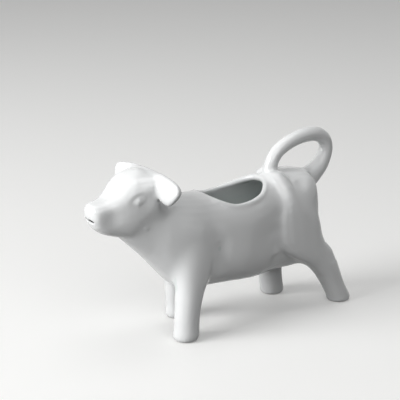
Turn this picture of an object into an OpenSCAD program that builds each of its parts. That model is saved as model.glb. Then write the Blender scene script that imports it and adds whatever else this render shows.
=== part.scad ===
// Cow creamer: a walking cow in white glazed porcelain. Milk goes in through the open back and pours from the mouth,
// and the tail curls over as the handle. +X points to the tail, -Y to the cow's left side, and the feet stand on Z = 0.

/* [Body] */
// Length of the barrel, chest and neck, from the throat to the rump
body_l = 125; // [100:1:150]
// Width of the barrel at the belly
body_w = 45; // [38:1:54]
// Height of the body, from the belly to the ridge of the rump
body_h = 57; // [48:1:68]
// Thickness of the fired wall
wall = 3; // [2:0.2:4]

/* [Filling opening] */
// Length of the opening in the back
fill_l = 42; // [30:1:48]
// Width of the opening in the back
fill_w = 33; // [22:1:34]
// Thickness of the rounded lip round the opening
lip_d = 3.6; // [2.4:0.2:5]

/* [Head] */
// Length of the head, from the muzzle to the poll
head_l = 37.6; // [33:0.2:44]
// Width of the head across the brow
head_w = 30; // [26:1:36]
// Height of the head, from the jaw to the poll
head_h = 36; // [30:1:42]
// Width of the pouring hole in the mouth
mouth_w = 7; // [6:0.2:10]
// Height of the pouring hole in the mouth
mouth_h = 3.2; // [3:0.2:5]
// Width of the line between the lips, from corner to corner
lip_line_w = 12; // [10:0.5:16]
// Height of the line between the lips
lip_line_h = 1.4; // [0.8:0.2:3]
// Diameter of the ball behind each eye
eye_d = 8; // [6:0.5:12]
// How far an eye stands proud of the face
eye_relief = 0.5; // [0.2:0.1:1.2]

/* [Ears] */
// Distance between the tips of the ears
ear_span = 62; // [50:1:72]
// Height of an ear
ear_h = 12; // [9:0.5:16]
// Thickness of an ear
ear_t = 7; // [5:0.2:8]
// Lean of the ears, top edge back
ear_lean = 12; // [0:1:30]

/* [Legs] */
// Clearance under the belly
leg_h = 23; // [16:1:32]
// Thickness of a leg above its foot
leg_d = 14.2; // [11:0.2:17]
// Distance between the centres of the left and right feet
stance_w = 31.6; // [26:0.2:36]
// Step between the two front feet
fore_step = 15.2; // [0:0.2:20]
// Step between the two hind feet
hind_step = 24.4; // [0:0.2:28]
// How far the hind feet stand behind the hip, on average
hind_sweep = 21; // [14:1:28]

/* [Tail] */
// Thickness of the tail
tail_d = 7.9; // [6:0.2:10]
// Length of the tail's loop
loop_l = 41; // [34:1:50]
// Height of the tail's loop over the rump
loop_h = 21.4; // [17:0.2:30]

/* [Hidden] */
glaze = [0.93, 0.94, 0.95];
// Overrun of every cut past the clay
over = 1;
// Facets round a large form, a small form and a tube, and rings along a leg
round_sides = 32;
leg_sides = 20;
leg_steps = 22;
tube_sides = 14;
// Rings along the tail, the barrel, its hollow, the head, its hollow and an ear
tail_steps = 42;
barrel_steps = 34;
barrel_hollow_steps = 26;
head_steps = 26;
head_hollow_steps = 16;
ear_steps = 18;
// Power of the oval of the mouth and of an ear
mouth_power = 2.6;
ear_power = 2.2;

// Barrel, chest and neck from the throat to the rump. A row holds: place along body_l; low side, high side and
// widest level over the belly, shares of body_h; half width, share of body_w; power of the upper and lower curve
barrel_shares = [
    [0.000, 0.650, 0.750, 0.700, 0.060, 2.0, 2.0],
    [0.022, 0.607, 0.860, 0.735, 0.170, 2.0, 2.0],
    [0.070, 0.508, 0.970, 0.755, 0.260, 2.1, 2.0],
    [0.134, 0.368, 1.015, 0.702, 0.315, 2.2, 2.0],
    [0.200, 0.210, 0.992, 0.600, 0.380, 2.2, 2.35],
    [0.265, 0.064, 0.962, 0.530, 0.428, 2.2, 2.45],
    [0.330, 0.004, 0.942, 0.480, 0.450, 2.2, 2.4],
    [0.400, 0.000, 0.930, 0.447, 0.442, 2.35, 2.2],
    [0.480, 0.000, 0.930, 0.420, 0.478, 2.6, 2.2],
    [0.570, -0.012, 0.936, 0.404, 0.500, 2.75, 2.2],
    [0.660, -0.025, 0.953, 0.420, 0.486, 2.8, 2.2],
    [0.750, -0.012, 0.975, 0.474, 0.440, 2.5, 2.2],
    [0.835, -0.010, 0.992, 0.560, 0.452, 2.5, 2.2],
    [0.905, -0.015, 0.990, 0.600, 0.450, 2.7, 2.4],
    [0.960, 0.080, 0.985, 0.620, 0.418, 2.8, 2.6],
    [0.988, 0.260, 0.960, 0.640, 0.325, 2.5, 2.3],
    [1.000, 0.480, 0.880, 0.680, 0.160, 2.0, 2.0]];

// How much of the barrel's table and of the head's is hollow
barrel_hollow_shares = [0.06, 0.93];
head_hollow_shares = [0.234, 0.871];

// Outline of the filling opening from its point to its round end: place along fill_l, half width as a share of fill_w
fill_shares = [[0, 0], [0.035, 0.20], [0.13, 0.36], [0.28, 0.47], [0.45, 0.50], [0.62, 0.49],
    [0.78, 0.43], [0.91, 0.29], [0.98, 0.14], [1, 0]];
// Where the opening's point lies along the body
fill_place_share = 0.413;

// Head from the muzzle to the poll: place along head_l; low side, high side and widest level over the jaw,
// shares of head_h; half width, share of head_w; power of the upper and lower curve
head_shares = [
    [0.000, 0.430, 0.505, 0.465, 0.050, 2.0, 2.0],
    [0.008, 0.385, 0.540, 0.455, 0.120, 2.2, 2.2],
    [0.030, 0.305, 0.580, 0.440, 0.190, 2.3, 2.2],
    [0.075, 0.222, 0.598, 0.415, 0.244, 2.5, 2.2],
    [0.170, 0.138, 0.615, 0.390, 0.278, 2.7, 2.3],
    [0.268, 0.092, 0.645, 0.385, 0.305, 3.0, 2.4],
    [0.366, 0.058, 0.712, 0.400, 0.348, 3.4, 2.5],
    [0.463, 0.028, 0.806, 0.425, 0.395, 3.8, 2.5],
    [0.560, 0.004, 0.886, 0.450, 0.432, 4.0, 2.5],
    [0.683, 0.004, 0.952, 0.475, 0.462, 3.8, 2.4],
    [0.805, 0.060, 0.975, 0.520, 0.468, 3.3, 2.3],
    [0.902, 0.190, 0.945, 0.590, 0.425, 2.7, 2.2],
    [0.963, 0.390, 0.880, 0.650, 0.310, 2.3, 2.0],
    [1.000, 0.520, 0.790, 0.690, 0.170, 2.0, 2.0]];
// How far the muzzle reaches in front of the throat, and the jaw's lowest level over the belly
muzzle_reach_share = 0.46;
jaw_level_share = 0.632;
// Level of the mouth over the jaw, and the hole's depth along the head
mouth_level_share = 0.350;
mouth_depth_share = 0.3;
// Place of the eyes along the head and their level over the jaw
eye_place_share = 0.625;
eye_level_share = 0.60;
// How far back the line between the lips runs at its corners, along the head
lip_reach_share = 0.125;

// Ear from inside the head to its tip: place out to half of ear_span, half height, half thickness, rise of the middle
ear_shares = [[0.00, 0.44, 0.52, 0.27], [0.20, 0.44, 0.52, 0.27], [0.37, 0.44, 0.52, 0.265], [0.50, 0.55, 0.50, 0.13],
    [0.64, 0.635, 0.47, -0.02], [0.77, 0.55, 0.43, 0.02], [0.88, 0.41, 0.36, 0.09], [0.955, 0.26, 0.26, 0.15],
    [1.00, 0.08, 0.09, 0.18]];
// Middle of the ears: along the head and level over the jaw
ear_place_shares = [0.945, 0.740];
// How far the ear's front face is hollowed
ear_cup_share = 0.10;

// Front leg from its foot to the shoulder: level, from 0 at the table through 1 at the belly to 2 at the ridge;
// shares of the way from foot to shoulder, along and inwards; half length and half width, shares of leg_d;
// power of the oval
fore_shares = [
    [0.000, 0.00, 0.00, 0.400, 0.395, 2.0],
    [0.045, 0.00, 0.00, 0.475, 0.465, 2.0],
    [0.140, 0.02, 0.00, 0.510, 0.500, 2.0],
    [0.350, 0.08, 0.03, 0.495, 0.485, 2.0],
    [0.700, 0.20, 0.10, 0.500, 0.490, 2.0],
    [1.020, 0.40, 0.20, 0.550, 0.520, 2.1],
    [1.160, 0.70, 0.30, 0.700, 0.570, 2.2],
    [1.330, 0.86, 0.42, 0.800, 0.610, 2.3],
    [1.510, 0.95, 0.58, 0.790, 0.580, 2.3],
    [1.680, 1.00, 0.80, 0.640, 0.470, 2.2],
    [1.800, 1.00, 1.00, 0.330, 0.240, 2.0]];
// Hind leg from its foot through the hock to the hip, as the front leg, then in over the hip to the tail's root
hind_shares = [
    [0.000, 0.00, 0.00, 0.410, 0.400, 2.0],
    [0.045, 0.00, 0.00, 0.480, 0.470, 2.0],
    [0.140, 0.01, 0.00, 0.500, 0.490, 2.0],
    [0.478, 0.14, 0.01, 0.500, 0.465, 2.0],
    [0.826, 0.27, 0.02, 0.590, 0.485, 2.0],
    [1.023, 0.39, 0.04, 0.740, 0.515, 2.0],
    [1.096, 0.54, 0.06, 0.820, 0.530, 2.1],
    [1.175, 0.70, 0.09, 0.970, 0.580, 2.4],
    [1.316, 0.91, 0.15, 1.200, 0.635, 2.8],
    [1.474, 0.97, 0.20, 1.230, 0.655, 2.9],
    [1.640, 1.02, 0.27, 1.040, 0.650, 2.7],
    [1.770, 1.12, 0.40, 0.620, 0.640, 2.2],
    [1.890, 1.17, 0.64, 0.460, 0.590, 2.0],
    [1.980, 1.20, 0.92, 0.380, 0.440, 2.0],
    [2.020, 1.20, 1.00, 0.190, 0.220, 2.0]];
// Where the shoulder and the hip lie along the body, and how far out their tops lie, as a share of body_w
shoulder_place_shares = [0.320, 0.215];
hip_place_shares = [0.848, 0.122];

// Tail from inside the back round the loop into the rump: place along loop_l and over the rump, shares of loop_l
// and loop_h; radius, share of tail_d
tail_shares = [[0.03, -0.46, 0.68], [0.01, -0.18, 0.64], [0.015, 0.06, 0.55], [0.055, 0.29, 0.49], [0.15, 0.50, 0.49],
    [0.30, 0.66, 0.51], [0.47, 0.76, 0.52], [0.65, 0.805, 0.53], [0.82, 0.775, 0.53], [0.945, 0.625, 0.52],
    [0.995, 0.39, 0.51], [0.962, 0.14, 0.55], [0.87, -0.10, 0.66], [0.70, -0.34, 0.80], [0.55, -0.55, 0.80]];
// Where the tail leaves the back, along the body
tail_place_share = 0.795;

// Places measured from the throat, then moved so that the muzzle and the heel lie evenly about X = 0
muzzle_x = -muzzle_reach_share * head_l;
hip_x = hip_place_shares[0] * body_l;
heel_x = hip_x + hind_sweep + hind_step / 2 + hind_shares[2][3] * leg_d;
mid_x = (muzzle_x + heel_x) / 2;
ridge_z = leg_h + body_h;
jaw_z = leg_h + jaw_level_share * body_h;

// Smooth curve through the rows of a table, at t from 0 to 1
function row_at(rows, i) = rows[max(0, min(len(rows) - 1, i))];
function blend(a, b, c, d, t) = (2 * b + (c - a) * t + (2 * a - 5 * b + 4 * c - d) * t * t
    + (3 * b - a - 3 * c + d) * t * t * t) / 2;
function curve(rows, t) = let (s = t * (len(rows) - 1), i = min(floor(s), len(rows) - 2))
    blend(row_at(rows, i - 1), rows[i], rows[i + 1], row_at(rows, i + 2), s - i);
// Point of a unit oval of a given power at an angle
function bow(v, power) = sign(v) * pow(abs(v), 2 / power);

// Closed skin over rings of equal length, the first and last ring closed flat
module skin(rings) {
    n = len(rings[0]);
    last = (len(rings) - 1) * n;
    points = [for (ring = rings) each ring];
    sides = [for (j = [0:len(rings) - 2], k = [0:n - 1])
        let (a = j * n + k, b = j * n + (k + 1) % n)
        each [[a, a + n, b], [b, a + n, b + n]]];
    polyhedron(points, concat(sides, [[for (k = [0:n - 1]) k]], [[for (k = [n - 1:-1:0]) last + k]]));
}

// One upright ring across the cow, from its low and high level, widest level, half width and powers
function cross_ring(x, low, high, widest, half, up_power, low_power, sides) = [for (k = [0:sides - 1])
    let (a = 360 * k / sides, up = sin(a) >= 0)
    [x, half * bow(cos(a), up ? up_power : low_power),
        widest + (up ? high - widest : widest - low) * bow(sin(a), up ? up_power : low_power)]];

// Barrel or head as rows of upright rings, drawn in by an inset for the hollow inside
module cross_form(rows, size, place, inset, first, last, steps) {
    skin([for (j = [0:steps])
        let (r = curve(rows, first + (last - first) * j / steps),
            low = place[1] + r[1] * size[2] + inset, high = place[1] + r[2] * size[2] - inset)
        cross_ring(place[0] + r[0] * size[0], low, high, place[1] + r[3] * size[2],
            r[4] * size[1] - inset, r[5], r[6], inset > 0 ? leg_sides : round_sides)]);
}

module barrel_outside() {
    cross_form(barrel_shares, [body_l, body_w, body_h], [-mid_x, leg_h], 0, 0, 1, barrel_steps);
}

module barrel_inside() {
    cross_form(barrel_shares, [body_l, body_w, body_h], [-mid_x, leg_h], wall,
        barrel_hollow_shares[0], barrel_hollow_shares[1], barrel_hollow_steps);
}

module head_outside() {
    cross_form(head_shares, [head_l, head_w, head_h], [muzzle_x - mid_x, jaw_z], 0, 0, 1, head_steps);
}

module head_inside() {
    cross_form(head_shares, [head_l, head_w, head_h], [muzzle_x - mid_x, jaw_z], wall,
        head_hollow_shares[0], head_hollow_shares[1], head_hollow_steps);
}

// Row of a table at a place along it, found by halving
function row_near(rows, share, low = 0, high = 1, turns = 16) = let (mid = (low + high) / 2, r = curve(rows, mid))
    turns == 0 ? r : r[0] < share ? row_near(rows, share, mid, high, turns - 1)
        : row_near(rows, share, low, mid, turns - 1);
function barrel_row(share) = row_near(barrel_shares, share);
function head_row(share) = row_near(head_shares, share);
// Half width of the head at a row and a level over the jaw
function head_half(r, level) = let (up = level > r[3], power = up ? r[5] : r[6],
        q = up ? (level - r[3]) / (r[2] - r[3]) : (r[3] - level) / (r[3] - r[1]))
    r[4] * head_w * pow(max(0, 1 - pow(q, power)), 1 / power);
// Level of the back at a place along the body and out from the middle
function back_z(share, y) = let (r = barrel_row(share), q = abs(y) / (r[4] * body_w))
    leg_h + body_h * (r[3] + (r[2] - r[3]) * pow(max(0, 1 - pow(q, r[5])), 1 / r[5]));
// Outline of the filling opening, once round
fill_steps = 20;
fill_side = [for (k = [0:fill_steps]) let (r = curve(fill_shares, k / fill_steps)) [r[0] * fill_l, r[1] * fill_w]];
fill_outline = concat(fill_side, [for (k = [fill_steps - 1:-1:1]) [fill_side[k][0], -fill_side[k][1]]]);
fill_x = fill_place_share * body_l;

module fill_cut() {
    translate([fill_x - mid_x, 0, ridge_z - body_h / 2])
        linear_extrude(height = body_h / 2 + over + head_h) polygon(fill_outline);
}

// Rounded lip that follows the edge of the opening over the curve of the back
module fill_lip() {
    n = len(fill_outline);
    path = [for (p = fill_outline) [fill_x + p[0] - mid_x, p[1],
        back_z((fill_x + p[0]) / body_l, p[1]) - lip_d / 2]];
    rings = [for (j = [0:n - 1])
        let (ahead = path[(j + 1) % n] - path[(j + n - 1) % n], flat = [ahead[0], ahead[1], 0],
            out = cross(flat, [0, 0, 1]) / norm(flat), up = cross(out, ahead) / norm(ahead))
        [for (k = [0:tube_sides - 1]) let (a = 360 * k / tube_sides)
            path[j] + lip_d / 2 * (cos(a) * out + sin(a) * up)]];
    points = [for (ring = rings) each ring];
    polyhedron(points, [for (j = [0:n - 1], k = [0:tube_sides - 1])
        let (next = ((j + 1) % n) * tube_sides, here = j * tube_sides, m = (k + 1) % tube_sides)
        each [[here + k, here + m, next + k], [here + m, next + m, next + k]]]);
}

module body_shell() {
    color(glaze) difference() {
        union() {
            difference() {
                barrel_outside();
                barrel_inside();
                fill_cut();
            }
            fill_lip();
        }
        head_inside();
    }
}

// Pouring hole through the muzzle, an oval with full sides
module mouth_cut() {
    depth = mouth_depth_share * head_l;
    translate([muzzle_x - mid_x - over, 0, jaw_z + mouth_level_share * head_h])
        rotate([90, 0, 90]) linear_extrude(height = depth + over)
            polygon([for (k = [0:leg_sides - 1]) let (a = 360 * k / leg_sides)
                [mouth_w / 2 * bow(cos(a), mouth_power), mouth_h / 2 * bow(sin(a), mouth_power)]]);
}

// Low relief of an eye, a ball sunk into the side of the face
module eye(side) {
    place = head_row(eye_place_share);
    translate([muzzle_x - mid_x + eye_place_share * head_l,
            side * (head_half(place, eye_level_share) + eye_relief - eye_d / 2),
            jaw_z + eye_level_share * head_h])
        sphere(d = eye_d, $fn = leg_sides);
}

// Line between the lips, a flat oval let into the front of the muzzle
module lip_line() {
    translate([muzzle_x - mid_x, 0, jaw_z + mouth_level_share * head_h])
        scale([2 * lip_reach_share * head_l / lip_line_w, 1, lip_line_h / lip_line_w])
            sphere(d = lip_line_w, $fn = leg_sides);
}

module head() {
    color(glaze) difference() {
        union() {
            head_outside();
            eye(-1);
            eye(1);
        }
        lip_line();
        head_inside();
        barrel_outside();
        mouth_cut();
    }
}

// Ear as leaf-shaped rings across the head, hollowed in front
module ear(side) {
    middle = [muzzle_x - mid_x + ear_place_shares[0] * head_l, jaw_z + ear_place_shares[1] * head_h];
    down = [-sin(ear_lean), -cos(ear_lean)];
    front = [-cos(ear_lean), sin(ear_lean)];
    rings = [for (j = [0:ear_steps])
        let (r = curve(ear_shares, j / ear_steps))
        [for (k = [0:leg_sides - 1])
            let (a = 360 * k / leg_sides, v = bow(cos(a), ear_power), w = bow(sin(a), ear_power),
                p = middle + r[1] * ear_h * v * down + (r[2] * ear_t * w - ear_cup_share * ear_t * (1 - v * v)) * front)
            [p[0], side * r[0] * ear_span / 2, p[1] + r[3] * ear_h]]];
    skin(side > 0 ? rings : [for (ring = rings) [for (k = [leg_sides - 1:-1:0]) ring[k]]]);
}

module ear_left() {
    color(glaze) difference() {
        ear(-1);
        head_outside();
        barrel_outside();
    }
}

module ear_right() {
    color(glaze) difference() {
        ear(1);
        head_outside();
        barrel_outside();
    }
}

// Leg as level rings from the foot into the body. The foot and the top are given as a place along and out
module leg(rows, foot, top) {
    skin([for (j = [0:leg_steps])
        let (r = curve(rows, j / leg_steps), middle = [for (k = [0, 1]) foot[k] + (top[k] - foot[k]) * r[k + 1]],
            z = r[0] <= 1 ? r[0] * leg_h : leg_h + (r[0] - 1) * body_h)
        [for (k = [0:leg_sides - 1]) let (a = 360 * k / leg_sides)
            [middle[0] + r[3] * leg_d * bow(cos(a), r[5]), middle[1] + r[4] * leg_d * bow(sin(a), r[5]), z]]]);
}

module front_leg(side, step) {
    shoulder_x = shoulder_place_shares[0] * body_l - mid_x;
    color(glaze) difference() {
        leg(fore_shares, [shoulder_x + step * fore_step / 2, side * stance_w / 2],
            [shoulder_x, side * shoulder_place_shares[1] * body_w]);
        barrel_outside();
    }
}

module hind_leg(side, step) {
    color(glaze) difference() {
        leg(hind_shares, [hip_x - mid_x + hind_sweep + step * hind_step / 2, side * stance_w / 2],
            [hip_x - mid_x, side * hip_place_shares[1] * body_w]);
        barrel_outside();
        tail();
    }
}

module leg_front_left() {
    front_leg(-1, -1);
}

module leg_front_right() {
    front_leg(1, 1);
}

module leg_hind_left() {
    hind_leg(-1, 1);
}

module leg_hind_right() {
    hind_leg(1, -1);
}

// Tail as round rings square to its path in the middle plane
module tail() {
    start = [tail_place_share * body_l - mid_x, ridge_z];
    path = [for (j = [0:tail_steps]) let (r = curve(tail_shares, j / tail_steps)) start + [r[0] * loop_l, r[1] * loop_h]];
    skin([for (j = [0:tail_steps])
        let (ahead = path[min(j + 1, tail_steps)] - path[max(j - 1, 0)], side = [ahead[1], -ahead[0]] / norm(ahead),
            radius = curve(tail_shares, j / tail_steps)[2] * tail_d)
        [for (k = [0:tube_sides - 1]) let (a = 360 * k / tube_sides)
            [path[j][0] + radius * cos(a) * side[0], radius * sin(a), path[j][1] + radius * cos(a) * side[1]]]]);
}

module tail_handle() {
    color(glaze) difference() {
        tail();
        barrel_outside();
    }
}

body_shell();
head();
ear_left();
ear_right();
leg_front_left();
leg_front_right();
leg_hind_left();
leg_hind_right();
tail_handle();
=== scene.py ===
import math

import bpy
import numpy as np
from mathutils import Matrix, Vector


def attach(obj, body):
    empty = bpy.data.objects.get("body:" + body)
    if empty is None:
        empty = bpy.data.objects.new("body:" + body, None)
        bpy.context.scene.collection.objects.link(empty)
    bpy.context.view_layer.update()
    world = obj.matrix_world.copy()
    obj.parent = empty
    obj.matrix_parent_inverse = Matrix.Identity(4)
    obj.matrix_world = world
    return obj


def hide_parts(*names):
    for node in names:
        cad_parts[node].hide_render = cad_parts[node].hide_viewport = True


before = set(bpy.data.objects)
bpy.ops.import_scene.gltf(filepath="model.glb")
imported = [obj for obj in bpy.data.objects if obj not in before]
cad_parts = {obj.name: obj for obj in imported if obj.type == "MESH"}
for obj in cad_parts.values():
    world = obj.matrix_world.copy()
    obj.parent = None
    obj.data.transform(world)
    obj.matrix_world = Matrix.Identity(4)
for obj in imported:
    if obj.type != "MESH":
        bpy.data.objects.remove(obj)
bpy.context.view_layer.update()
print("frame loaded:", len(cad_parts), "nodes")


# camera, at the photo's viewing angle
cameraView = {
    "location": (-0.3917, -0.5522, 0.2731),
    "azimuth": -34.51,
    "elevation": 16.78,
    "lens": 116.28,
    "sensor": 36.0,
    "nearClip": 0.01,
}


def addCamera():
    camera = bpy.data.objects.new("camera", bpy.data.cameras.new("camera"))
    bpy.context.scene.collection.objects.link(camera)
    camera.data.lens = cameraView["lens"]
    camera.data.sensor_width = cameraView["sensor"]
    camera.data.clip_start = cameraView["nearClip"]
    camera.location = cameraView["location"]
    camera.rotation_euler = (
        math.radians(90.0 - cameraView["elevation"]),
        0.0,
        math.radians(cameraView["azimuth"]),
    )
    bpy.context.scene.camera = camera


addCamera()
print("camera placed")


# small helpers for work by hand
mergeGap = 0.000001  # points nearer to each other than this become one


def only(piece):
    bpy.ops.object.select_all(action="DESELECT")
    piece.select_set(True)
    bpy.context.view_layer.objects.active = piece


def applyModifier(piece, kind, **settings):
    only(piece)
    modifier = piece.modifiers.new(kind.lower(), kind)
    for key, value in settings.items():
        setattr(modifier, key, value)
    bpy.ops.object.modifier_apply(modifier=modifier.name)


def copyPiece(source, name):
    piece = bpy.data.objects.new(name, source.data.copy())
    bpy.context.scene.collection.objects.link(piece)
    return piece


def mergedCopy(node):
    piece = copyPiece(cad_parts[node], node + "_copy")
    only(piece)
    piece.data.materials.clear()
    bpy.ops.object.mode_set(mode="EDIT")
    bpy.ops.mesh.select_all(action="SELECT")
    bpy.ops.mesh.remove_doubles(threshold=mergeGap)
    bpy.ops.mesh.normals_make_consistent(inside=False)
    bpy.ops.object.mode_set(mode="OBJECT")
    return piece


def joined(parts, name):
    bpy.ops.object.select_all(action="DESELECT")
    for part in parts:
        part.select_set(True)
    bpy.context.view_layer.objects.active = parts[0]
    bpy.ops.object.join()
    parts[0].name = name
    return parts[0]


def remove(piece):
    mesh = piece.data
    bpy.data.objects.remove(piece)
    bpy.data.meshes.remove(mesh)


def smoothFaces(piece):
    piece.data.polygons.foreach_set("use_smooth", [True] * len(piece.data.polygons))


def coords(piece):
    found = np.empty(len(piece.data.vertices) * 3)
    piece.data.vertices.foreach_get("co", found)
    return found.reshape(-1, 3)


def setCoords(piece, points):
    piece.data.vertices.foreach_set("co", points.ravel())
    piece.data.update()


def facings(piece):
    found = np.empty(len(piece.data.vertices) * 3, dtype=np.float32)
    piece.data.vertex_normals.foreach_get("vector", found)
    return found.reshape(-1, 3)


class Neighbours:
    # the mean of each point's neighbours, for strokes of the sponge
    def __init__(self, piece):
        pairs = np.empty(len(piece.data.edges) * 2, dtype=np.int32)
        piece.data.edges.foreach_get("vertices", pairs)
        pairs = pairs.reshape(-1, 2)
        self.near = np.concatenate((pairs[:, 0], pairs[:, 1]))
        self.far = np.concatenate((pairs[:, 1], pairs[:, 0]))
        self.size = len(piece.data.vertices)
        self.counts = np.maximum(np.bincount(self.near, minlength=self.size), 1)

    def mean(self, values):
        if values.ndim == 1:
            total = np.bincount(self.near, weights=values[self.far], minlength=self.size)
            return total / self.counts
        return np.stack([self.mean(values[:, k]) for k in range(values.shape[1])], axis=1)


# the clay: every part luted on, then its joints wiped smooth
clay = {
    "grid": 0.00065,  # fineness of the fused skin
    "creaseFrom": 0.00003,  # how hollow a place is before it is wiped
    "creaseFull": 0.00016,
    "spread": 12,  # how far a wipe reaches either side of a joint
    "gain": 10.0,
    "polish": 24,  # light strokes over the whole skin
    "polishIn": 0.5,  # share of the way to its neighbours that one takes a point
    "polishOut": 0.53,  # and the share that the next one takes it back
    "strokes": 150,  # heavy strokes, shared out by the weights below
    "strokeIn": 0.5,
    "feather": 3,  # rings of points over which the heavy strokes ease off
    "jointWeight": 0.35,
    "jointPoolShade": 0.5,  # how far a joint fills with glaze and is darkened as painted shade, where the hollow inside is 1
}
nodeNames = sorted(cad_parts)


def fuseClay():
    clayBody = joined([mergedCopy(node) for node in nodeNames], "clay")
    applyModifier(clayBody, "REMESH", mode="VOXEL", voxel_size=clay["grid"])
    print("clay fused:", len(clayBody.data.vertices), "points")
    return clayBody


def polish(points, around):
    # one stroke in and one out, so that the form keeps its size
    for stroke in range(clay["polish"]):
        points = points + clay["polishIn"] * (around.mean(points) - points)
        points = points - clay["polishOut"] * (around.mean(points) - points)
    return points


def jointWeights(points, facing, around):
    hollowness = ((around.mean(points) - points) * facing).sum(axis=1)
    span = clay["creaseFull"] - clay["creaseFrom"]
    weight = np.clip((hollowness - clay["creaseFrom"]) / span, 0.0, 1.0)
    for ring in range(clay["spread"]):
        weight = around.mean(weight)
    return np.clip(weight * clay["gain"], 0.0, 1.0)


# where the sponge pressed hardest, on both sides of the cow
sponge = {
    "chest": {"place": (-0.031, 0.017, 0.041), "reach": 0.019, "press": 1.0},
    "barrel": {"place": (-0.001, 0.022, 0.046), "reach": 0.027, "press": 0.5},
    "loin": {"place": (0.016, 0.021, 0.050), "reach": 0.015, "press": 0.5},
    "armpit": {"place": (-0.014, 0.018, 0.030), "reach": 0.012, "press": 1.0},
    "elbow": {"place": (-0.017, 0.014, 0.0235), "reach": 0.009, "press": 1.0},
    "thighBack": {"place": (0.051, 0.019, 0.066), "reach": 0.014, "press": 1.0},
    "thighFront": {"place": (0.022, 0.020, 0.036), "reach": 0.011, "press": 0.5},
    "hip": {"place": (0.028, 0.019, 0.069), "reach": 0.008, "press": 0.4},
    "belly": {"place": (0.048, 0.011, 0.0235), "reach": 0.012, "press": 1.0},
    "tailFoot": {"place": (0.058, 0.000, 0.080), "reach": 0.014, "press": 1.0},
    "throat": {"place": (-0.050, 0.010, 0.064), "reach": 0.011, "press": 1.0},
    "jowl": {"place": (-0.0445, 0.0125, 0.073), "reach": 0.009, "press": 1.0},
    "earRoot": {"place": (-0.0470, 0.0150, 0.0790), "reach": 0.009, "press": 1.0},
    "poll": {"place": (-0.0505, 0.008, 0.0900), "reach": 0.008, "press": 0.8},
}
spongeFirmness = 1.6  # above 1, the press stays full over the inner part of its reach


def spongeWeights(points):
    weight = np.zeros(len(points))
    for spot in sponge.values():
        for side in (-1.0, 1.0):
            place = np.array(spot["place"]) * (1.0, side, 1.0)
            away = np.linalg.norm(points - place, axis=1) / spot["reach"]
            near = np.clip(spongeFirmness * (1.0 - away), 0.0, 1.0)
            weight = np.maximum(weight, spot["press"] * near)
    return weight


# the hollow inside, wiped smooth
hollow = {
    "length": (-0.045, 0.060),
    "middle": 0.052,
    "halfWidth": 0.0225,
    "halfHeight": 0.030,
    "fade": (0.062, 0.071),  # levels between which the strokes ease off under the rim
}


def hollowWeights(points, facing):
    x, y, z = points.T
    within = (x > hollow["length"][0]) & (x < hollow["length"][1])
    around = (y / hollow["halfWidth"]) ** 2 + ((z - hollow["middle"]) / hollow["halfHeight"]) ** 2
    inward = -y * facing[:, 1] + (hollow["middle"] - z) * facing[:, 2] > 0
    low, high = hollow["fade"]
    ease = np.clip((high - z) / (high - low), 0.0, 1.0)
    return np.where(within & (around < 1.0) & inward, ease, 0.0)


# thumb marks: how far the clay was pushed in (below 0) or left full, and on which sides
# side -1 is the one that the photo shows, and 1 the far one
thumbs = {
    "hamstring": {"place": (0.0625, 0.018, 0.049), "reach": 0.013, "push": -0.0013, "sides": (-1,)},
    "hock": {"place": (0.0690, 0.0165, 0.0338), "reach": 0.010, "push": 0.0030, "sides": (-1,)},
    "muzzleSide": {"place": (-0.0725, 0.009, 0.0735), "reach": 0.007, "push": -0.0005, "sides": (-1, 1)},
    "chin": {"place": (-0.0730, 0.007, 0.0650), "reach": 0.006, "push": 0.0003, "sides": (-1, 1)},
    "rumpDent": {"place": (0.0455, 0.015, 0.0745), "reach": 0.006, "push": -0.0006, "sides": (-1, 1)},
    "pollTop": {"place": (-0.0495, 0.003, 0.0925), "reach": 0.008, "push": 0.0006, "sides": (-1, 1)},
    "pollSide": {"place": (-0.0500, 0.0115, 0.0875), "reach": 0.008, "push": 0.0021, "sides": (-1, 1)},
    "earRoot": {"place": (-0.0470, 0.0140, 0.0770), "reach": 0.009, "push": 0.0020, "sides": (-1, 1)},
    "farHip": {"place": (0.0345, 0.0065, 0.0790), "reach": 0.007, "push": -0.0011, "sides": (1,)},
    "farElbow": {"place": (-0.0262, 0.017, 0.024), "reach": 0.014, "push": -0.0022, "sides": (1,)},
    "farShin": {"place": (-0.0235, 0.0185, 0.009), "reach": 0.012, "push": -0.0011, "sides": (1,)},
    "girth": {"place": (-0.008, 0.022, 0.048), "reach": 0.016, "push": -0.0006, "sides": (-1, 1)},
    "flank": {"place": (0.019, 0.021, 0.050), "reach": 0.014, "push": -0.0008, "sides": (-1, 1)},
}
# grooves drawn down both sides with a fingertip, behind the shoulder and before the haunch
grooves = {
    "shoulder": {
        "places": [
            (-0.0129, 0.0190, 0.0385),
            (-0.0127, 0.0202, 0.0450),
            (-0.0124, 0.0200, 0.0515),
            (-0.0160, 0.0190, 0.0590),
            (-0.0200, 0.0175, 0.0665),
        ],
        "reach": 0.0085,
        "pushes": (-0.0009, -0.0010, -0.0010, -0.0008, -0.0004),
    },
    "haunch": {
        "places": [
            (0.0273, 0.0180, 0.0350),
            (0.0257, 0.0195, 0.0432),
            (0.0247, 0.0205, 0.0516),
            (0.0255, 0.0200, 0.0601),
        ],
        "reach": 0.007,
        "pushes": (-0.0007, -0.0008, -0.0008, -0.0005),
    },
}
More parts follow.
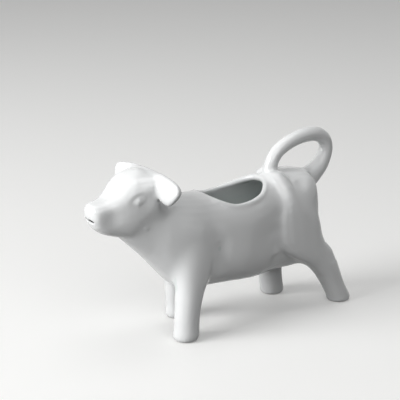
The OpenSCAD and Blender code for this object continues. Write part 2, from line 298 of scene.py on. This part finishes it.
# beads of thick glaze, as on any dipped piece
beads = {
    "jowl": {"place": (-0.0541, 0.0124, 0.0658), "reach": 0.0024, "push": 0.00030, "sides": (-1,)},
    "nape": {"place": (-0.0365, 0.0110, 0.0748), "reach": 0.0020, "push": 0.00026, "sides": (-1,)},
    "girth": {"place": (-0.0133, 0.0195, 0.0530), "reach": 0.0022, "push": 0.00022, "sides": (-1,)},
    "flank": {"place": (0.0267, 0.0189, 0.0385), "reach": 0.0026, "push": 0.00030, "sides": (-1,)},
    "hip": {"place": (0.0430, 0.0132, 0.0757), "reach": 0.0022, "push": 0.00026, "sides": (-1,)},
    "belly": {"place": (0.0165, 0.0150, 0.0274), "reach": 0.0022, "push": 0.00030, "sides": (-1, 1)},
}


def allPresses():
    # a groove is a row of presses down each side
    presses = [*thumbs.values(), *beads.values()]
    for groove in grooves.values():
        for place, push in zip(groove["places"], groove["pushes"]):
            presses.append({"place": place, "reach": groove["reach"], "push": push, "sides": (-1, 1)})
    return presses


def pressClay(points, facing):
    moved = points.copy()
    for press in allPresses():
        for side in press["sides"]:
            place = np.array(press["place"]) * (1.0, side, 1.0)
            near = np.clip(1.0 - np.linalg.norm(points - place, axis=1) / press["reach"], 0.0, 1.0)
            ease = near * near * (3.0 - 2.0 * near)
            moved += press["push"] * ease[:, None] * facing
    return moved


# the eyes, drawn with the end of a stick
eyes = {
    "place": (-0.0583, 0.0816),  # along the cow and up
    "size": (0.0042, 0.0026),  # half its length and half its height
    "tilt": 20.0,
    "ball": 0.00009,  # heights and depths
    "groove": 0.00012,
    "brow": 0.00012,
    "ballWidth": 0.65,  # widths and the brow's place, as shares of the size
    "grooveWidth": 0.25,
    "browPlace": 1.6,
    "browWidth": 0.35,
    "leastFacing": 0.5,  # only what faces sideways and lies this far out is drawn on
    "leastOut": 0.008,
}


def drawEyes(points, facing):
    turn = math.radians(eyes["tilt"])
    along = points[:, 0] - eyes["place"][0]
    up = points[:, 2] - eyes["place"][1]
    u = (along * math.cos(turn) + up * math.sin(turn)) / eyes["size"][0]
    v = (up * math.cos(turn) - along * math.sin(turn)) / eyes["size"][1]
    away = np.hypot(u, v)
    fromBrow = (away - eyes["browPlace"]) / eyes["browWidth"]
    ball = eyes["ball"] * np.exp(-((away / eyes["ballWidth"]) ** 4))
    groove = eyes["groove"] * np.exp(-(((away - 1.0) / eyes["grooveWidth"]) ** 2))
    brow = eyes["brow"] * np.exp(-(fromBrow**2)) * np.clip(v, 0.0, 1.0)
    sideways = np.abs(facing[:, 1]) > eyes["leastFacing"]
    outside = np.abs(points[:, 1]) > eyes["leastOut"]
    height = np.where(sideways & outside, ball - groove + brow, 0.0)
    return points + height[:, None] * facing


# the lips, which close on the pouring slit at the front of the muzzle
lips = {"place": (-0.0805, 0.0, 0.0717), "reach": (0.006, 0.009, 0.0045), "press": 0.7}


def pinchLips(points):
    away = np.linalg.norm((points - lips["place"]) / lips["reach"], axis=1)
    press = lips["press"] * np.clip(1.0 - away, 0.0, 1.0)
    closed = points.copy()
    closed[:, 2] -= press * (points[:, 2] - lips["place"][2])
    return closed


def solidsBox():
    # corners of the box round the solids, which the glazed skin never passes
    corners = np.concatenate([coords(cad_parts[node]) for node in nodeNames])
    return corners.min(axis=0), corners.max(axis=0)


def wipeJoints(points, weight, around):
    for ring in range(clay["feather"]):
        weight = around.mean(weight)
    for stroke in range(clay["strokes"]):
        points = points + clay["strokeIn"] * weight[:, None] * (around.mean(points) - points)
    return points


def shapeClay(piece):
    around = Neighbours(piece)
    points = polish(coords(piece), around)
    setCoords(piece, points)
    facing = facings(piece)
    atJoints = jointWeights(points, facing, around)
    inside = hollowWeights(points, facing)
    weight = np.maximum(clay["jointWeight"] * atJoints, np.maximum(spongeWeights(points), inside))
    points = wipeJoints(points, weight, around)
    setCoords(piece, points)
    print("joints wiped")
    facing = facings(piece)
    points = pressClay(points, facing)
    points = drawEyes(points, facing)
    points = pinchLips(points)
    setCoords(piece, np.clip(points, *solidsBox()))
    # the glaze runs into the joints and down inside, and the darker colour there is also painted shade
    pool_and_shade = piece.data.attributes.new("pool_and_shade", "FLOAT", "POINT")
    pool_and_shade.data.foreach_set("value", np.maximum(clay["jointPoolShade"] * atJoints, inside))
    print("clay pressed, eyes and lips drawn")


skin = fuseClay()
shapeClay(skin)
smoothFaces(skin)


# the fused skin is parted again along each piece's own joint
parting = {
    "margin": 0.0024,  # how far a piece takes the clay round its joint
    "grid": 0.0011,
    "smoothing": 12,  # passes that take the grid's steps out of a cutting shape
    "smoothIn": 0.5,
}
# each takes its clay in this order, and the body shell keeps the rest
attached = [
    "ear_left",
    "ear_right",
    "tail_handle",
    "leg_front_left",
    "leg_front_right",
    "leg_hind_left",
    "leg_hind_right",
    "head",
]


def reachOf(node):
    # the second remesh takes away the folds that the first two steps leave in tight corners
    reach = mergedCopy(node)
    applyModifier(reach, "REMESH", mode="VOXEL", voxel_size=parting["grid"])
    applyModifier(reach, "DISPLACE", strength=parting["margin"], mid_level=0.0)
    applyModifier(reach, "REMESH", mode="VOXEL", voxel_size=parting["grid"])
    applyModifier(reach, "SMOOTH", factor=parting["smoothIn"], iterations=parting["smoothing"])
    return reach


def dropCrumbs(piece):
    # a cut can leave a few loose faces beside a piece
    only(piece)
    bpy.ops.object.mode_set(mode="EDIT")
    bpy.ops.mesh.select_all(action="SELECT")
    bpy.ops.mesh.separate(type="LOOSE")
    bpy.ops.object.mode_set(mode="OBJECT")
    parts = sorted(bpy.context.selected_objects, key=lambda part: -len(part.data.polygons))
    name = piece.name
    for crumb in parts[1:]:
        remove(crumb)
    parts[0].name = name
    return parts[0]


def partSkin():
    rest = copyPiece(skin, "rest")
    pieces = {}
    for node in attached:
        reach = reachOf(node)
        piece = copyPiece(rest, node + "_glazed")
        cutting = {"object": reach, "solver": "MANIFOLD"}
        applyModifier(piece, "BOOLEAN", operation="INTERSECT", **cutting)
        applyModifier(rest, "BOOLEAN", operation="DIFFERENCE", **cutting)
        remove(reach)
        pieces[node] = piece
        print("parted:", node, len(piece.data.polygons))
    rest.name = "body_shell_glazed"
    pieces["body_shell"] = rest
    print("parted: body_shell", len(rest.data.polygons))
    return {node: dropCrumbs(piece) for node, piece in pieces.items()}


pieces = partSkin()


# small helpers for materials
mixSockets = {"FLOAT": (0, 2, 3, 0), "RGBA": (0, 6, 7, 2)}  # share, first, second and result


def feed(tree, socket, source):
    # a socket takes another node's output or a fixed value
    if isinstance(source, bpy.types.NodeSocket):
        tree.links.new(source, socket)
    else:
        socket.default_value = source


def addNode(tree, kind, place, **inputs):
    node = tree.nodes.new(kind)
    node.location = place
    for key, source in inputs.items():
        feed(tree, node.inputs[key], source)
    return node


def addMix(tree, kind, place, share, first, second):
    node = addNode(tree, "ShaderNodeMix", place)
    node.data_type = kind
    *sockets, result = mixSockets[kind]
    for socket, source in zip(sockets, (share, first, second)):
        feed(tree, node.inputs[socket], source)
    return node.outputs[result]


def addMath(tree, operation, place, first, second):
    node = addNode(tree, "ShaderNodeMath", place)
    node.operation = operation
    feed(tree, node.inputs[0], first)
    feed(tree, node.inputs[1], second)
    return node.outputs[0]


def addRange(tree, place, value, span, result):
    node = addNode(tree, "ShaderNodeMapRange", place, Value=value)
    for key, number in zip(("From Min", "From Max", "To Min", "To Max"), (*span, *result)):
        node.inputs[key].default_value = number
    return node.outputs["Result"]


# one porcelain for all the pieces
glaze = {
    "colour": (0.80, 0.81, 0.81, 1.0),
    "poolShadeColour": (0.72, 0.76, 0.75, 1.0),  # where the glaze lies thick, and painted shade in the joints and inside the hollow
    "clayColour": (0.62, 0.60, 0.56, 1.0),  # bare feet
    "ior": 1.5,
    "roughness": (0.07, 0.15),  # the gloss is dulled in patches
    "patches": 55.0,
    "patchDetail": 3.0,
    "patchRange": (0.35, 0.65),  # levels of the noise from clear to dulled
    "clayRoughness": 0.7,
    "footHeight": 0.0006,  # the glaze starts this far above the table
    "footBare": 0.6,  # share of that height which is quite bare
    "waves": 90.0,
    "waveDetail": 1.5,
    "waveHeight": 0.25,
    "waveDepth": 0.0004,
}


def bareFeet(tree, point):
    # 1 on the clay that stood in the kiln, 0 on the glaze
    height = addNode(tree, "ShaderNodeSeparateXYZ", (-1000, 0), Vector=point)
    top = glaze["footHeight"]
    return addRange(tree, (-800, 0), height.outputs["Z"], (top * glaze["footBare"], top), (1.0, 0.0))


def glazeColourAndShade(tree, bare):
    pool_and_shade = addNode(tree, "ShaderNodeAttribute", (-1200, 300))
    pool_and_shade.attribute_name = "pool_and_shade"
    shades = (glaze["colour"], glaze["poolShadeColour"])
    # the joints and the hollow inside take the darker, greener colour: thick glaze and painted shade at
    # once
    tintAndShade = addMix(tree, "RGBA", (-600, 300), pool_and_shade.outputs["Fac"], *shades)
    return addMix(tree, "RGBA", (-300, 300), bare, tintAndShade, glaze["clayColour"])


def glazeRoughness(tree, point, bare):
    detail = {"Scale": glaze["patches"], "Detail": glaze["patchDetail"]}
    patches = addNode(tree, "ShaderNodeTexNoise", (-900, -600), Vector=point, **detail)
    spans = (glaze["patchRange"], glaze["roughness"])
    dulling = addRange(tree, (-600, -600), patches.outputs["Fac"], *spans)
    return addMix(tree, "FLOAT", (-300, -600), bare, dulling, glaze["clayRoughness"])


def glazeWaves(tree, point):
    detail = {"Scale": glaze["waves"], "Detail": glaze["waveDetail"]}
    waves = addNode(tree, "ShaderNodeTexNoise", (-900, -300), Vector=point, **detail)
    depth = {"Strength": glaze["waveHeight"], "Distance": glaze["waveDepth"]}
    bump = addNode(tree, "ShaderNodeBump", (-300, -300), Height=waves.outputs["Fac"], **depth)
    return bump.outputs["Normal"]


def makeGlaze():
    material = bpy.data.materials.new("white_glaze")
    material.use_nodes = True
    tree = material.node_tree
    shader = tree.nodes["Principled BSDF"]
    shader.inputs["IOR"].default_value = glaze["ior"]
    point = addNode(tree, "ShaderNodeTexCoord", (-1200, 0)).outputs["Object"]
    bare = bareFeet(tree, point)
    feed(tree, shader.inputs["Base Color"], glazeColourAndShade(tree, bare))
    feed(tree, shader.inputs["Roughness"], glazeRoughness(tree, point, bare))
    feed(tree, shader.inputs["Normal"], glazeWaves(tree, point))
    return material


# how the pieces borrow the whole skin's shading, so that no joint shows
seams = {
    "sharpAngle": 60.0,  # an edge that turns by more than this, in degrees, stays sharp
    "astray": 0.4,  # least cosine between a borrowed facing and the face's own
}


def ownFacings(mesh):
    # the normal of each corner's own face
    faces = np.empty(len(mesh.polygons) * 3)
    mesh.polygons.foreach_get("normal", faces)
    totals = np.empty(len(mesh.polygons), dtype=np.int32)
    mesh.polygons.foreach_get("loop_total", totals)
    return np.repeat(faces.reshape(-1, 3), totals, axis=0)


def markSeams(piece):
    # an edge stays sharp where the normals of its two faces add up to little, as at a cut
    mesh = piece.data
    own = ownFacings(mesh)
    edges = np.empty(len(mesh.loops), dtype=np.int32)
    mesh.loops.foreach_get("edge_index", edges)
    both = np.stack([np.bincount(edges, weights=own[:, k]) for k in range(3)], axis=1)
    sharpSum = 2.0 + 2.0 * math.cos(math.radians(seams["sharpAngle"]))
    mesh.edges.foreach_set("use_edge_sharp", (both**2).sum(axis=1) < sharpSum)


def mendFacings(piece):
    # a cut face, turned away from the skin, goes back to its own facing
    mesh = piece.data
    corners = np.empty(len(mesh.loops) * 3)
    mesh.corner_normals.foreach_get("vector", corners)
    corners = corners.reshape(-1, 3)
    own = ownFacings(mesh)
    astray = (corners * own).sum(axis=1) < seams["astray"]
    mesh.normals_split_custom_set(np.where(astray[:, None], own, corners))


def dressPieces():
    material = makeGlaze()
    for node, piece in pieces.items():
        piece.data.materials.clear()
        piece.data.materials.append(material)
        smoothFaces(piece)
        markSeams(piece)
        applyModifier(
            piece,
            "DATA_TRANSFER",
            object=skin,
            use_loop_data=True,
            data_types_loops={"CUSTOM_NORMAL"},
            loop_mapping="POLYINTERP_NEAREST",
        )
        mendFacings(piece)
        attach(piece, "root")
        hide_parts(node)


dressPieces()
remove(skin)
print("pieces glazed")


# table, backdrop and lamps
studio = {
    "floorSeen": (0.80, 0.80, 0.79, 1.0),
    "floorBounce": (0.10, 0.10, 0.10, 1.0),  # what the floor throws back on the glaze
    "floorGlow": 0.22,  # how much of its seen colour the floor has without the lamp
    "floorRoughness": 0.6,
    "floorSize": 6.0,
    "worldColour": (1.0, 1.0, 1.0, 1.0),
    "worldLevel": 0.035,
    "backSeen": (0.93, 0.93, 0.93, 1.0),
}
# every lamp looks at the middle of the cow
lampAim = (0.0, 0.0, 0.05)
lamps = {
    "window": {"place": (-1.24, 0.20, 0.55), "width": 0.80, "height": 0.90, "power": 20.5},
    "room": {"place": (-0.37, -0.95, 0.92), "width": 0.90, "height": 0.90, "power": 4.8},
    "ceiling": {"place": (0.05, 0.10, 1.30), "width": 0.90, "height": 0.90, "power": 4.6},
}


def seenRays(tree, place):
    # 1 where the camera, a reflection or a clear body looks, 0 for light bounced about
    path = addNode(tree, "ShaderNodeLightPath", place)
    x, y = place
    direct = (path.outputs["Is Camera Ray"], path.outputs["Is Glossy Ray"])
    first = addMath(tree, "MAXIMUM", (x + 200, y), *direct)
    return addMath(tree, "MAXIMUM", (x + 400, y), first, path.outputs["Is Transmission Ray"])


def makeTable():
    material = bpy.data.materials.new("pale_table")
    material.use_nodes = True
    tree = material.node_tree
    shader = tree.nodes["Principled BSDF"]
    shader.inputs["Roughness"].default_value = studio["floorRoughness"]
    seen = seenRays(tree, (-900, 200))
    colour = addMix(tree, "RGBA", (-250, 200), seen, studio["floorBounce"], studio["floorSeen"])
    feed(tree, shader.inputs["Base Color"], colour)
    feed(tree, shader.inputs["Emission Color"], colour)
    glow = addMath(tree, "MULTIPLY", (-250, -200), seen, studio["floorGlow"])
    feed(tree, shader.inputs["Emission Strength"], glow)
    return material


def addFloor():
    bpy.ops.mesh.primitive_plane_add(size=studio["floorSize"], location=(0, 0, 0))
    floor = bpy.context.object
    floor.name = "floor"
    floor.data.materials.append(makeTable())


def addWorld():
    world = bpy.data.worlds.new("studio")
    bpy.context.scene.world = world
    world.use_nodes = True
    tree = world.node_tree
    lit = tree.nodes["Background"]
    lit.inputs["Color"].default_value = studio["worldColour"]
    lit.inputs["Strength"].default_value = studio["worldLevel"]
    seen = addNode(tree, "ShaderNodeBackground", (0, -200), Color=studio["backSeen"])
    mix = addNode(tree, "ShaderNodeMixShader", (300, 0), Fac=seenRays(tree, (-600, 300)))
    tree.links.new(lit.outputs[0], mix.inputs[1])
    tree.links.new(seen.outputs[0], mix.inputs[2])
    tree.links.new(mix.outputs[0], tree.nodes["World Output"].inputs["Surface"])


def addLamp(name, facts):
    data = bpy.data.lights.new(name, "AREA")
    data.shape = "RECTANGLE"
    data.size = facts["width"]
    data.size_y = facts["height"]
    data.energy = facts["power"]
    lamp = bpy.data.objects.new(name, data)
    bpy.context.scene.collection.objects.link(lamp)
    lamp.location = facts["place"]
    aim = Vector(lampAim) - lamp.location
    lamp.rotation_euler = aim.to_track_quat("-Z", "Y").to_euler()


addFloor()
addWorld()
for name, facts in lamps.items():
    addLamp(name, facts)
bpy.context.scene.view_settings.view_transform = "Standard"
print("studio lit")
